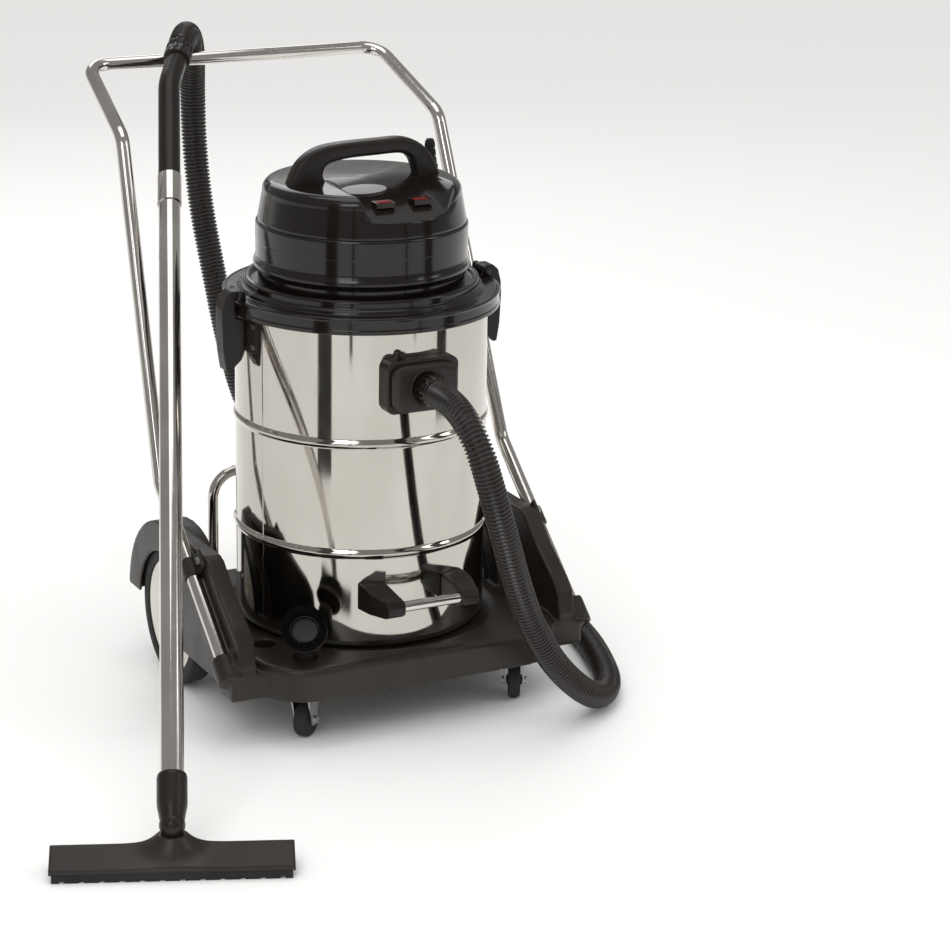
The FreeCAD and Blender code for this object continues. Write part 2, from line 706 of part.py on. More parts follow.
def float_cage():
    """Slotted basket under the head that guides the float."""
    cage = ring(CAGE_R, CAGE_R - 3, V(0, 0, FLOAT_TOP - CAGE_DEEP), V(0, 0, FLOAT_TOP))
    floor = ring(CAGE_R, 16, V(0, 0, FLOAT_TOP - CAGE_DEEP), V(0, 0, FLOAT_TOP - CAGE_DEEP + 4))
    cage = cage.fuse(floor)
    for angle in range(0, 180, 30):
        slot = box(-140, 140, -12, 12, FLOAT_TOP - 112, FLOAT_TOP - 24)
        slot.rotate(V(0, 0, 0), UP, angle)
        cage = cage.cut(slot)
    return cage


def float_ball():
    low = FLOAT_TOP - CAGE_DEEP + 4
    return lathe([(0, low), (70, low), (92, low + 14), (92, low + 40), (70, low + 54), (0, low + 54)])


def cloth_filter():
    """Bag filter hung under the head, round the float's cage."""
    low, top = FILTER_LOW, FLOAT_TOP
    return lathe([(0, low), (110, low), (116, low + 10), (116, 668), (204, top), (198, top), (113, 670),
                  (113, low + 11), (108, low + 3), (0, low + 3)])


# ---------------------------------------------------------------- wand

def wand_heading():
    return (WAND_BEND - WAND_FOOT).normalize()


def along_wand(distance):
    return WAND_FOOT + wand_heading() * distance


def past_bend(distance):
    return WAND_BEND + V(WAND_TURN).normalize() * distance


def wand_tube(low, high):
    return ring(WAND_R, WAND_R - SHEET, along_wand(low), along_wand(high))


def wand_collar():
    return ring(WAND_R + 2.4, WAND_R, along_wand(COLLAR_LOW), along_wand(GRIP_LOW))


def wand_grip():
    points = [along_wand(GRIP_LOW), WAND_BEND, past_bend(GRIP_END)]
    return swept_tube([tuple(p) for p in points], GRIP_R, WAND_R - 4, radius=110.0)[0]


def swivel_cuff():
    start = past_bend(SWIVEL_START)
    end = past_bend(SWIVEL_END)
    step = past_bend(GRIP_END + 0.5)
    body = ring(SWIVEL_R, GRIP_R + FIT, start, step)
    return fuse([body, ring(SWIVEL_R, WAND_R - 4, step, end)])


def tool_frame(shape):
    """Turn a shape drawn about the origin, lying along X, into the floor tool's place."""
    heading = wand_heading()
    shape.rotate(V(0, 0, 0), UP, -math.degrees(math.atan2(heading.x, heading.y)))
    shape.translate(V(WAND_FOOT.x, WAND_FOOT.y, 0))
    return shape


def tool_body():
    half = TOOL_LENGTH / 2
    back, front = 12.0, 12.0 - TOOL_DEPTH
    deck_outline = [(front, STRIP_HEIGHT), (front, 24), (front + 10, 32), (-4, TOOL_HEIGHT), (back, 36),
                    (back, STRIP_HEIGHT)]
    bar = side_prism(deck_outline, -half, half)
    hump = prism([V(-70, back - 6, 30), V(70, back - 6, 30), V(28, back - 6, 62), V(-28, back - 6, 62)],
                 V(0, -28, 0))
    body = bar.fuse(hump)
    for side in (-1, 1):
        inner, outer = NECK_HALF + 0.5, NECK_HALF + 0.5 + LUG_THICK
        cheek = box(inner, outer, -14, 14, 28, WAND_FOOT.z)
        eye = rod(14, V(inner, 0, WAND_FOOT.z), V(outer, 0, WAND_FOOT.z))
        lug = cheek.fuse(eye)
        body = body.fuse(lug if side > 0 else mirrored(lug))
    body = body.cut(rod(22, V(-NECK_HALF - 0.5, 0, WAND_FOOT.z), V(NECK_HALF + 0.5, 0, WAND_FOOT.z)))
    body = body.cut(rod(5 + FIT, V(-40, 0, WAND_FOOT.z), V(40, 0, WAND_FOOT.z)))
    body = body.cut(box(-half + 12, half - 12, front + 10, back - 10, 0, STRIP_HEIGHT + 8))
    return tool_frame(body.removeSplitter())


def tool_strip():
    """Notched rubber blades along both long edges."""
    half = TOOL_LENGTH / 2 - 4
    made = []
    for y in (12.0 - TOOL_DEPTH + 2, 12.0 - 8):
        blade = box(-half, half, y, y + 6, 0, STRIP_HEIGHT)
        for i in range(STRIP_NOTCHES):
            x = -half + (i + 0.5) * 2 * half / STRIP_NOTCHES
            blade = blade.cut(box(x - 4, x + 4, y - 1, y + 7, -1, 4))
        made.append(blade)
    return tool_frame(group(made))


def tool_neck():
    """Socket for the wand, turning between the floor tool's lugs."""
    socket = ring(WAND_R + 4.5, WAND_R, along_wand(24), along_wand(NECK_TOP))
    lean = wand_heading()
    level = V(lean.y, -lean.x, 0).normalize()
    ball = rod(20, WAND_FOOT - level * NECK_HALF, WAND_FOOT + level * NECK_HALF)
    throat = rod(15, WAND_FOOT, along_wand(22)).fuse(rod(WAND_R + 4.5, along_wand(20), along_wand(26)))
    pin = rod(5, WAND_FOOT - level * (NECK_HALF + 9), WAND_FOOT + level * (NECK_HALF + 9))
    return fuse([socket, ball, throat, pin])


# ---------------------------------------------------------------- dust brush

def brush_place():
    return V(BRUSH_SOCKET[0], BRUSH_SOCKET[1], DECK_TOP)


def dust_brush():
    foot = brush_place()
    knee = foot + V(0, 0, BRUSH_KNEE)
    face = V(BRUSH_FACE).normalize()
    neck = ring(SOCKET_R - 0.3, SOCKET_R - 3, foot - V(0, 0, 36), knee)
    bend = Part.makeSphere(SOCKET_R - 0.3, knee)
    cup = rod(36, knee + face * 6, knee + face * 26)
    body = fuse([neck, bend, cup])
    return body.cut(rod(24, knee + face * 14, knee + face * 60))


def dust_bristles():
    knee = brush_place() + V(0, 0, BRUSH_KNEE)
    face = V(BRUSH_FACE).normalize()
    return ring(37, 25, knee + face * 26, knee + face * 52)


# ---------------------------------------------------------------- all pieces

def hose(name, route):
    solid, radii, share = swept_tube(route, HOSE_R)
    length = round(solid.Volume / (math.pi * HOSE_R ** 2))
    print(name, "length", length, "radii", [round(r) for r in radii], "share", round(share, 4))
    return solid


def all_parts():
    return {
        "cart_body": cart_body(),
        "push_handle": push_handle(),
        "handle_clamps": group(both(handle_clamp())),
        "clamp_bolts": group(both(clamp_bolt())),
        "rear_bar": rear_bar(),
        "rear_axle": rear_axle(),
        "left_wheel_hub": mirrored(wheel_hub()),
        "right_wheel_hub": wheel_hub(),
        "left_wheel_tyre": mirrored(wheel_tyre()),
        "right_wheel_tyre": wheel_tyre(),
        "axle_caps": group(both(axle_cap())),
        "caster_plates": group([caster_plate(-CASTER_X), caster_plate(CASTER_X)]),
        "left_caster_fork": caster_fork(-CASTER_X),
        "right_caster_fork": caster_fork(CASTER_X),
        "left_caster_pin": caster_pin(-CASTER_X),
        "right_caster_pin": caster_pin(CASTER_X),
        "left_caster_wheel": caster_wheel(-CASTER_X),
        "right_caster_wheel": caster_wheel(CASTER_X),
        "drum": drum(),
        "drum_gasket": drum_gasket(),
        "catch_plates": group(both(catch_plate())),
        "catch_rivets": rivets(),
        "inlet_flange": inlet_flange(),
        "inlet_box": inlet_box(),
        "inlet_screws": inlet_screws(),
        "inlet_deflector": inlet_deflector(),
        "inlet_cuff": inlet_cuff(),
        "tilt_brackets": group(both(tilt_bracket())),
        "tilt_bar": tilt_bar(),
        "pivot_hooks": group(both(pivot_hook())),
        "head_rim": head_rim(),
        "motor_housing": motor_housing(),
        "dome": dome(),
        "carry_handle": carry_handle(),
        "switch_frames": switch_frame(),
        "left_rocker": rocker(SWITCH_X[0]),
        "right_rocker": rocker(SWITCH_X[1]),
        "badge_plate": badge(),
        "cord_gland": cord_gland(),
        "left_motor": motor(-MOTOR_X),
        "right_motor": motor(MOTOR_X),
        "left_rotor": rotor(-MOTOR_X),
        "right_rotor": rotor(MOTOR_X),
        "float_cage": float_cage(),
        "float_ball": float_ball(),
        "cloth_filter": cloth_filter(),
        "left_latch": mirrored(latch()),
        "right_latch": latch(),
        "wand_grip": wand_grip(),
        "wand_collar": wand_collar(),
        "upper_wand_tube": wand_tube(TUBE_JOINT, GRIP_LOW),
        "lower_wand_tube": wand_tube(26.5, TUBE_JOINT),
        "tool_neck": tool_neck(),
        "floor_tool": tool_body(),
        "floor_tool_blades": tool_strip(),
        "swivel_cuff": swivel_cuff(),
        "dust_brush": dust_brush(),
        "dust_bristles": dust_bristles(),
        "hose_front": hose("hose_front", FRONT_ROUTE),
        "hose_rear": hose("hose_rear", REAR_ROUTE),
    }


def footprint_shift(parts):
    """Move that brings the middle of the object, hose apart, over the origin."""
    whole = FreeCAD.BoundBox()
    for name, shape in parts.items():
        if not name.startswith("hose_"):
            whole.add(shape.optimalBoundingBox(False))
    return V(-whole.Center.x, -whole.Center.y, -whole.ZMin)


def main():
    os.makedirs("parts", exist_ok=True)
    parts = all_parts()
    shift = footprint_shift(parts)
    print("shift", [round(v, 4) for v in shift], "parts", len(parts))
    for name, shape in parts.items():
        shape.translate(shift)
        shape.exportStep("parts/" + name + ".step")


main()
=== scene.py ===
"""Looks for the shop vacuum: camera, studio, hose, materials and the refined pieces.

Metres, +Z up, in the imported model's frame.
"""
import json
import math
import random

import bmesh
import bpy
from mathutils import Matrix, Vector

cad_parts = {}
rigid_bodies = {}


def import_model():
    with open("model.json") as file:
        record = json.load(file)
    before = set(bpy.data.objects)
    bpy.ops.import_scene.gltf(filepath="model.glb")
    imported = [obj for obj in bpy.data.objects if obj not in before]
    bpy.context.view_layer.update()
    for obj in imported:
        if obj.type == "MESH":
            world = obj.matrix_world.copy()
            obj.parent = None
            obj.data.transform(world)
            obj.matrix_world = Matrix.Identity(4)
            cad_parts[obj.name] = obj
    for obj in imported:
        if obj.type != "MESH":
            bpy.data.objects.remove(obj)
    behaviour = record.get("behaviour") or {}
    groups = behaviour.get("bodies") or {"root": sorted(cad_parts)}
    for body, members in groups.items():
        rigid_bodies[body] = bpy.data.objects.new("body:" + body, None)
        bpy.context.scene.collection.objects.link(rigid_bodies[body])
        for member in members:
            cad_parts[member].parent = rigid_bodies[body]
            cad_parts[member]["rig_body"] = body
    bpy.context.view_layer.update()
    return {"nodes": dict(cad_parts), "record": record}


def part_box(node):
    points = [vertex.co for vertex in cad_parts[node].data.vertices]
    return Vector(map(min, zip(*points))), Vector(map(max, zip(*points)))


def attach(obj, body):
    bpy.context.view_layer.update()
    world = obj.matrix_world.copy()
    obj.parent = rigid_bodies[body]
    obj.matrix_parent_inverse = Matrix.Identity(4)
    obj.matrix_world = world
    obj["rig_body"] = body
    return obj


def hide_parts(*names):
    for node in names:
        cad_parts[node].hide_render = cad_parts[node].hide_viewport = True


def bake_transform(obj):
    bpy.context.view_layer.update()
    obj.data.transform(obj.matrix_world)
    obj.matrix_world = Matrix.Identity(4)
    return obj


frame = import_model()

NODES = frame["nodes"]
SCENE = bpy.context.scene

low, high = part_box("drum")
AXIS = Vector(((low.x + high.x) / 2, (low.y + high.y) / 2, 0.0))


def at(x, y, z):
    """A point given in millimetres about the drum's axis, in the frame's metres."""
    return AXIS + Vector((x, y, z)) / 1000


# ---------------------------------------------------------------- camera

CAMERA_AZIMUTH = math.radians(-27.85)
CAMERA_ELEVATION = math.radians(17.85)
CAMERA_ROLL = math.radians(1.12)
CAMERA_DISTANCE = 5.00466
CAMERA_LENS = 107.12
CAMERA_TARGET = at(179.5, -94.8, 389.2)


def make_camera():
    back = Vector((math.sin(CAMERA_AZIMUTH) * math.cos(CAMERA_ELEVATION),
                   -math.cos(CAMERA_AZIMUTH) * math.cos(CAMERA_ELEVATION),
                   math.sin(CAMERA_ELEVATION)))
    right = Vector((math.cos(CAMERA_AZIMUTH), math.sin(CAMERA_AZIMUTH), 0))
    up = back.cross(right)
    turned = right * math.cos(CAMERA_ROLL) + up * math.sin(CAMERA_ROLL)
    up = back.cross(turned)
    data = bpy.data.cameras.new("camera")
    data.lens = CAMERA_LENS
    data.sensor_width = 36.0
    data.clip_end = 100.0
    camera = bpy.data.objects.new("camera", data)
    axes = Matrix((turned, up, back)).transposed().to_4x4()
    camera.matrix_world = Matrix.Translation(CAMERA_TARGET + back * CAMERA_DISTANCE) @ axes
    SCENE.collection.objects.link(camera)
    SCENE.camera = camera


# ---------------------------------------------------------------- materials

def node_tree(name):
    made = bpy.data.materials.new(name)
    made.use_nodes = True
    tree = made.node_tree
    shader = tree.nodes["Principled BSDF"]
    return made, tree, shader


def coordinates(tree, scale):
    """Object coordinates stretched by a scale on each axis."""
    place = tree.nodes.new("ShaderNodeTexCoord")
    mapping = tree.nodes.new("ShaderNodeMapping")
    mapping.inputs["Scale"].default_value = scale
    tree.links.new(place.outputs["Object"], mapping.inputs["Vector"])
    return mapping.outputs["Vector"]


def noise_value(tree, scale, detail=3.0, stretch=(1, 1, 1), roughness=0.5):
    made = tree.nodes.new("ShaderNodeTexNoise")
    made.inputs["Scale"].default_value = scale
    made.inputs["Detail"].default_value = detail
    made.inputs["Roughness"].default_value = roughness
    tree.links.new(coordinates(tree, stretch), made.inputs["Vector"])
    return made.outputs["Fac"]


def ramp(tree, value, stops):
    made = tree.nodes.new("ShaderNodeValToRGB")
    band = made.color_ramp
    band.elements[0].position, band.elements[0].color = stops[0][0], (*stops[0][1], 1)
    band.elements[1].position, band.elements[1].color = stops[-1][0], (*stops[-1][1], 1)
    for position, color in stops[1:-1]:
        band.elements.new(position).color = (*color, 1)
    tree.links.new(value, made.inputs["Fac"])
    return made.outputs["Color"]


def spread(tree, value, low_out, high_out, low_in=0.3, high_in=0.7):
    made = tree.nodes.new("ShaderNodeMapRange")
    made.inputs["From Min"].default_value = low_in
    made.inputs["From Max"].default_value = high_in
    made.inputs["To Min"].default_value = low_out
    made.inputs["To Max"].default_value = high_out
    tree.links.new(value, made.inputs["Value"])
    return made.outputs["Result"]


def bump(tree, value, strength, distance, normal=None):
    made = tree.nodes.new("ShaderNodeBump")
    made.inputs["Strength"].default_value = strength
    made.inputs["Distance"].default_value = distance
    tree.links.new(value, made.inputs["Height"])
    if normal is not None:
        tree.links.new(normal, made.inputs["Normal"])
    return made.outputs["Normal"]


def plastic(name, dark, light, rough, grain, grain_depth, coat=0.0, mottle=6.0, gloss=0.3):
    """Moulded plastic: slight colour drift, uneven gloss and a fine grain."""
    made, tree, shader = node_tree(name)
    drift = noise_value(tree, mottle, 5.0)
    tree.links.new(ramp(tree, drift, ((0.3, dark), (0.7, light))), shader.inputs["Base Color"])
    smudge = noise_value(tree, 22.0, 6.0, (1, 1, 0.6))
    tree.links.new(spread(tree, smudge, rough[0], rough[1]), shader.inputs["Roughness"])
    fine = noise_value(tree, grain, 2.0)
    tree.links.new(bump(tree, fine, 0.35, grain_depth), shader.inputs["Normal"])
    shader.inputs["Specular IOR Level"].default_value = gloss
    shader.inputs["Coat Weight"].default_value = coat
    shader.inputs["Coat Roughness"].default_value = 0.06
    return made


def metal(name, dark, light, rough, stretch, scratch=260.0, depth=0.00002, wave=0.0):
    """Polished or plated metal with fine scratches and a slow waviness."""
    made, tree, shader = node_tree(name)
    shader.inputs["Metallic"].default_value = 1.0
    drift = noise_value(tree, 9.0, 5.0, stretch)
    tree.links.new(ramp(tree, drift, ((0.3, dark), (0.7, light))), shader.inputs["Base Color"])
    lines = noise_value(tree, scratch, 4.0, stretch, 0.6)
    tree.links.new(spread(tree, lines, rough[0], rough[1]), shader.inputs["Roughness"])
    normal = bump(tree, lines, 0.25, depth)
    if wave:
        slow = noise_value(tree, 5.0, 1.0, (1, 1, 0.35))
        normal = bump(tree, slow, 0.6, wave, normal)
    tree.links.new(normal, shader.inputs["Normal"])
    return made


def cloth(name, dark, light):
    made, tree, shader = node_tree(name)
    weave = tree.nodes.new("ShaderNodeTexWave")
    weave.inputs["Scale"].default_value = 260.0
    weave.inputs["Distortion"].default_value = 1.5
    tree.links.new(coordinates(tree, (1, 1, 1)), weave.inputs["Vector"])
    threads = ramp(tree, weave.outputs["Fac"], ((0.2, dark), (0.8, light)))
    tree.links.new(threads, shader.inputs["Base Color"])
    tree.links.new(bump(tree, weave.outputs["Fac"], 0.5, 0.0004), shader.inputs["Normal"])
    shader.inputs["Roughness"].default_value = 0.9
    shader.inputs["Sheen Weight"].default_value = 0.3
    return made


MATERIALS = {
    "black_plastic": plastic("black_plastic", (0.014, 0.0105, 0.008), (0.023, 0.0175, 0.014),
                             (0.38, 0.52), 900.0, 0.00012),
    "gloss_black": plastic("gloss_black", (0.005, 0.0036, 0.003), (0.008, 0.006, 0.005),
                           (0.13, 0.2), 420.0, 0.00002, coat=0.35),
    "satin_black": plastic("satin_black", (0.009, 0.007, 0.006), (0.015, 0.012, 0.010),
                           (0.26, 0.36), 700.0, 0.00006),
    "polished_steel": metal("polished_steel", (0.5, 0.475, 0.43), (0.585, 0.56, 0.515), (0.045, 0.1),
                            (1, 1, 0.4), 40.0, 0.000003, 0.0006),
    "chrome_tube": metal("chrome_tube", (0.60, 0.57, 0.54), (0.74, 0.72, 0.69), (0.06, 0.15),
                         (1, 1, 1), 90.0, 0.00001),
    "bright_plate": metal("bright_plate", (0.78, 0.78, 0.79), (0.88, 0.88, 0.89), (0.3, 0.45),
                          (1, 1, 1), 160.0, 0.00003),
    "zinc_steel": metal("zinc_steel", (0.42, 0.43, 0.44), (0.6, 0.61, 0.62), (0.25, 0.42),
                        (1, 1, 1), 160.0, 0.00004),
    "wheel_disc": plastic("wheel_disc", (0.62, 0.6, 0.54), (0.72, 0.7, 0.64), (0.35, 0.5),
                          500.0, 0.0001),
    "wheel_rubber": plastic("wheel_rubber", (0.016, 0.016, 0.016), (0.03, 0.029, 0.028), (0.6, 0.78),
                            600.0, 0.00025),
    "soft_rubber": plastic("soft_rubber", (0.012, 0.012, 0.012), (0.02, 0.02, 0.02), (0.55, 0.7),
                           700.0, 0.0001),
    "hose_plastic": plastic("hose_plastic", (0.010, 0.0075, 0.0062), (0.019, 0.0145, 0.012),
                            (0.22, 0.32), 800.0, 0.00006, gloss=0.6),
    "red_rocker": plastic("red_rocker", (0.13, 0.008, 0.008), (0.24, 0.022, 0.018), (0.15, 0.28),
                          300.0, 0.00002, coat=0.4),
    "filter_cloth": cloth("filter_cloth", (0.6, 0.6, 0.56), (0.8, 0.8, 0.76)),
    "float_foam": plastic("float_foam", (0.7, 0.68, 0.6), (0.82, 0.8, 0.72), (0.5, 0.7), 300.0, 0.0002),
    "bristle": plastic("bristle", (0.0025, 0.002, 0.0018), (0.009, 0.007, 0.006), (0.4, 0.6),
                       900.0, 0.0001, mottle=300.0),
    "cart_plastic": plastic("cart_plastic", (0.0115, 0.0085, 0.0066), (0.021, 0.016, 0.0128),
                            (0.3, 0.44), 700.0, 0.0002, gloss=0.4),
}
NODE_LOOK = {"wand_grip": "satin_black", "inlet_screws": "satin_black", "badge_plate": "bright_plate"}
NODE_SLOT = {row["node"]: row["material_slot"] for row in frame["record"]["subparts"]}


def paint(piece, look):
    piece.data.materials.clear()
    piece.data.materials.append(MATERIALS[look])


def paint_nodes():
    for name, slot in NODE_SLOT.items():
        materials = NODES[name].data.materials
        materials.clear()
        materials.append(MATERIALS[NODE_LOOK.get(name, slot)])


# ---------------------------------------------------------------- mesh helpers

def new_piece(name, verts, faces, body, look, smooth=True):
    mesh = bpy.data.meshes.new(name)
    mesh.from_pydata([tuple(v) for v in verts], [], faces)
    mesh.validate()
    mesh.update()
    piece = bpy.data.objects.new(name, mesh)
    SCENE.collection.objects.link(piece)
    if smooth:
        mesh.polygons.foreach_set("use_smooth", [True] * len(mesh.polygons))
    paint(piece, look)
    if body:
        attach(piece, body)
    return piece


def rounded(profile, radius, steps=4):
    """Profile with each inner corner rounded off."""
    made = [Vector(profile[0])]
    for before, corner, after in zip(profile, profile[1:], profile[2:]):
        before, corner, after = Vector(before), Vector(corner), Vector(after)
        reach = min(radius, (corner - before).length * 0.45, (after - corner).length * 0.45)
        first = corner + (before - corner).normalized() * reach
        last = corner + (after - corner).normalized() * reach
        for i in range(steps + 1):
            t = i / steps
            made.append(first * (1 - t) ** 2 + corner * 2 * t * (1 - t) + last * t ** 2)
    made.append(Vector(profile[-1]))
    return made


def supported(points, margin=0.0004, long=0.003):
    """Adds a point near both ends of each long run, so that its shading stays flat."""
    made = [points[0]]
    for a, b in zip(points, points[1:]):
        run = (b - a).length
        if run > long:
            made += [a.lerp(b, margin / run), a.lerp(b, 1 - margin / run)]
        made.append(b)
    return made


def lathe_mesh(profile, turns, place):
    """Vertices and faces of a profile of (radius, along) turned about the local Z of a matrix."""
    verts, faces = [], []
    rows = []
    for radius, along in profile:
        if radius < 1e-6:
            rows.append([len(verts)])
            verts.append(place @ Vector((0, 0, along)))
            continue
        rows.append(list(range(len(verts), len(verts) + turns)))
        for i in range(turns):
            angle = 2 * math.pi * i / turns
            verts.append(place @ Vector((radius * math.cos(angle), radius * math.sin(angle), along)))
    for a, b in zip(rows, rows[1:]):
        for i in range(turns):
            j = (i + 1) % turns
            if len(a) == 1 and len(b) == 1:
                continue
            if len(a) == 1:
                faces.append((a[0], b[j], b[i]))
            elif len(b) == 1:
                faces.append((a[i], a[j], b[0]))
            else:
                faces.append((a[i], a[j], b[j], b[i]))
    return verts, faces


def lathe(name, profile, body, look, place=None, radius=0.002, turns=96, steps=4):
    corners = supported(rounded(profile, radius, steps) if radius else [Vector(p) for p in profile])
    verts, faces = lathe_mesh([tuple(p) for p in corners], turns, place or Matrix.Translation(AXIS))
    return new_piece(name, verts, faces, body, look)


def along(start, heading):
    """Matrix whose local Z runs along a heading from a start."""
    heading = Vector(heading).normalized()
    side = heading.orthogonal().normalized()
    other = heading.cross(side)
    return Matrix.Translation(start) @ Matrix((side, other, heading)).transposed().to_4x4()


# ---------------------------------------------------------------- hose

HOSE_R = 0.024
RIB_PITCH = 0.0072
RIB_DEPTH = 0.004
FRONT_ROUTE = [at(*p) for p in (
    (0, -296, 614), (0, -366, 614), (14, -420, 556), (38, -430, 468), (66, -424, 384),
    (96, -412, 300), (134, -396, 214), (204, -372, 112), (292, -350, 36), (366, -276, 24.1),
    (416, -150, 24.1), (452, -20, 24.1), (462, 110, 24.1), (445, 180, 24.1))]
REAR_ROUTE = [at(*p) for p in (
    (445, 180, 24.1), (428, 250, 24.1), (366, 372, 24.1), (282, 470, 40), (194, 548, 112),
    (104, 596, 216), (40, 612, 346), (4, 616, 480), (-18, 628, 616), (-38, 642, 746),
    (-45, 654, 872), (-48, 650, 980), (-60.2, 617.6, 1044.3), (-75.3, 594.3, 1079.7),
    (-99.015, 557.734, 1090.459), (-121.227, 523.543, 1072.135))]


def spline_line(route):
    """Points of the smooth NURBS line whose control points are the route."""
    data = bpy.data.curves.new("route", "CURVE")
    data.dimensions = "3D"
    data.resolution_u = 24
    spline = data.splines.new("NURBS")
    spline.points.add(len(route) - 1)
    for point, place in zip(spline.points, route):
        point.co = (*place, 1)
    spline.order_u = 3
    spline.use_endpoint_u = True
    holder = bpy.data.objects.new("route", data)
    mesh = bpy.data.meshes.new_from_object(holder)
    line = [v.co.copy() for v in mesh.vertices]
    bpy.data.objects.remove(holder)
    bpy.data.meshes.remove(mesh)
    return line


def resampled(line, step):
    """The line's points at an even step, with the length it has."""
    lengths = [0.0]
    for a, b in zip(line, line[1:]):
        lengths.append(lengths[-1] + (b - a).length)
    total = lengths[-1]
    count = max(2, round(total / step))
    made, i = [], 0
    for k in range(count + 1):
        want = total * k / count
        while i < len(line) - 2 and lengths[i + 1] < want:
            i += 1
        run = lengths[i + 1] - lengths[i]
        t = (want - lengths[i]) / run if run else 0
        made.append(line[i].lerp(line[i + 1], min(max(t, 0), 1)))
    return made, total


def swept(line, radii, turns):
    """Mesh tube round a line with a radius at each point, closed at both ends."""
    verts, faces = [], []
    heading = (line[1] - line[0]).normalized()
    side = heading.orthogonal().normalized()
    for i, centre in enumerate(line):
        ahead = line[min(i + 1, len(line) - 1)] - line[max(i - 1, 0)]
        ahead.normalize()
        side = (side - ahead * side.dot(ahead)).normalized()
        other = ahead.cross(side)
        for k in range(turns):
            angle = 2 * math.pi * k / turns
            verts.append(centre + (side * math.cos(angle) + other * math.sin(angle)) * radii[i])
    for i in range(len(line) - 1):
        for k in range(turns):
            j = (k + 1) % turns
            a, b = i * turns, (i + 1) * turns
            faces.append((a + k, a + j, b + j, b + k))
    for row, flip in ((0, True), (len(line) - 1, False)):
        centre = len(verts)
        verts.append(line[row])
        for k in range(turns):
            j = (k + 1) % turns
            a = row * turns
            faces.append((a + j, a + k, centre) if flip else (a + k, a + j, centre))
    return verts, faces


RIB_STEPS = 6
RIB_SHAPE = (0.0, 0.1, 0.9, 1.0, 0.9, 0.1)


def hose_piece(name, route):
    smooth_line, _ = resampled(spline_line(route), 0.004)
    ribs = round(len(smooth_line) * 0.004 / RIB_PITCH)
    line, total = resampled(smooth_line, len(smooth_line) * 0.004 / (ribs * RIB_STEPS))
    radii = [HOSE_R - RIB_DEPTH * (1 - RIB_SHAPE[i % RIB_STEPS]) for i in range(len(line))]
    verts, faces = swept(line, radii, 28)
    piece = new_piece(name, verts, faces, None, "hose_plastic")
    return piece, smooth_line, total


def make_hose():
    front, front_line, front_length = hose_piece("front_hose", FRONT_ROUTE)
    rear, rear_line, rear_length = hose_piece("rear_hose", REAR_ROUTE)
    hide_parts("hose_front")
    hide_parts("hose_rear")
    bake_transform(front)
    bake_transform(rear)


# ---------------------------------------------------------------- refined pieces

def body_of(node):
    return NODES[node]["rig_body"]


def baked(piece, body, look, slot, *nodes):
    """Apply a piece's modifiers, then let it stand for its CAD nodes."""
    bpy.context.view_layer.update()
    done = bpy.data.meshes.new_from_object(piece.evaluated_get(bpy.context.evaluated_depsgraph_get()))
    piece.modifiers.clear()
    piece.data = done
    done.name = piece.name
    done.polygons.foreach_set("use_smooth", [True] * len(done.polygons))
    paint(piece, look)
    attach(piece, body)
    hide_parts(*nodes)
    return piece


def softened(name, node, look, voxel, passes=4, slot=None, factor=0.5):
    """Copy of a CAD node with the soft edges of a moulding."""
    mesh = NODES[node].data.copy()
    mesh.name = name
    welded = bmesh.new()
    welded.from_mesh(mesh)
    bmesh.ops.remove_doubles(welded, verts=welded.verts, dist=1e-5)
    welded.to_mesh(mesh)
    welded.free()
    piece = bpy.data.objects.new(name, mesh)
    SCENE.collection.objects.link(piece)
    grid = piece.modifiers.new("grid", "REMESH")
    grid.mode = "VOXEL"
    grid.voxel_size = voxel
    relax = piece.modifiers.new("relax", "SMOOTH")
    relax.factor = factor
    relax.iterations = passes
    return baked(piece, body_of(node), look, slot or NODE_SLOT[node], node)


def superellipse(half_a, half_b, power, count):
    made = []
    for i in range(count):
        angle = 2 * math.pi * i / count
        c, s = math.cos(angle), math.sin(angle)
        made.append((half_a * math.copysign(abs(c) ** (2 / power), c),
                     half_b * math.copysign(abs(s) ** (2 / power), s)))
    return made


def eased(rows, count):
    """Rows of numbers joined by a smooth line through all of them."""
    made = []
    last = len(rows) - 1
    for k in range(count + 1):
        place = last * k / count
        i = min(int(place), last - 1)
        t = place - i
        p0, p1, p2, p3 = (rows[max(min(i + o, last), 0)] for o in (-1, 0, 1, 2))
        made.append([0.5 * (2 * b + (c - a) * t + (2 * a - 5 * b + 4 * c - d) * t * t
                            + (3 * b - a - 3 * c + d) * t ** 3) for a, b, c, d in zip(p0, p1, p2, p3)])
    return made


def skinned(rings):
    """Closed skin over rings of equally many points."""
    turns = len(rings[0])
    verts = [v for ring in rings for v in ring]
    faces = []
    for i in range(len(rings) - 1):
        for k in range(turns):
            j = (k + 1) % turns
            a, b = i * turns, (i + 1) * turns
            faces.append((a + k, a + j, b + j, b + k))
    for row, flip in ((0, True), (len(rings) - 1, False)):
        centre = len(verts)
        verts.append(sum(rings[row], Vector((0, 0, 0))) / turns)
        a = row * turns
        for k in range(turns):
            j = (k + 1) % turns
            faces.append((a + j, a + k, centre) if flip else (a + k, a + j, centre))
    return verts, faces


def fluted(name, stations, body, look, place, flutes=14, turns=168, power=2.0):
    """Turned piece whose stations are (along, radius, flute depth), in metres about a matrix's Z."""
    rings = []
    for along_z, radius, depth in stations:
        ring = []
        for i in range(turns):
            angle = 2 * math.pi * i / turns
            dip = depth * abs(math.sin(angle * flutes / 2)) ** power
            r = radius - dip
            ring.append(place @ Vector((r * math.cos(angle), r * math.sin(angle), along_z)))
        rings.append(ring)
    verts, faces = skinned(rings)
    return new_piece(name, verts, faces, body, look)


def smoothstep(low_edge, high_edge, value):
    t = min(max((value - low_edge) / (high_edge - low_edge), 0), 1)
    return t * t * (3 - 2 * t)


def mm(profile):
    return [(r / 1000, z / 1000) for r, z in profile]


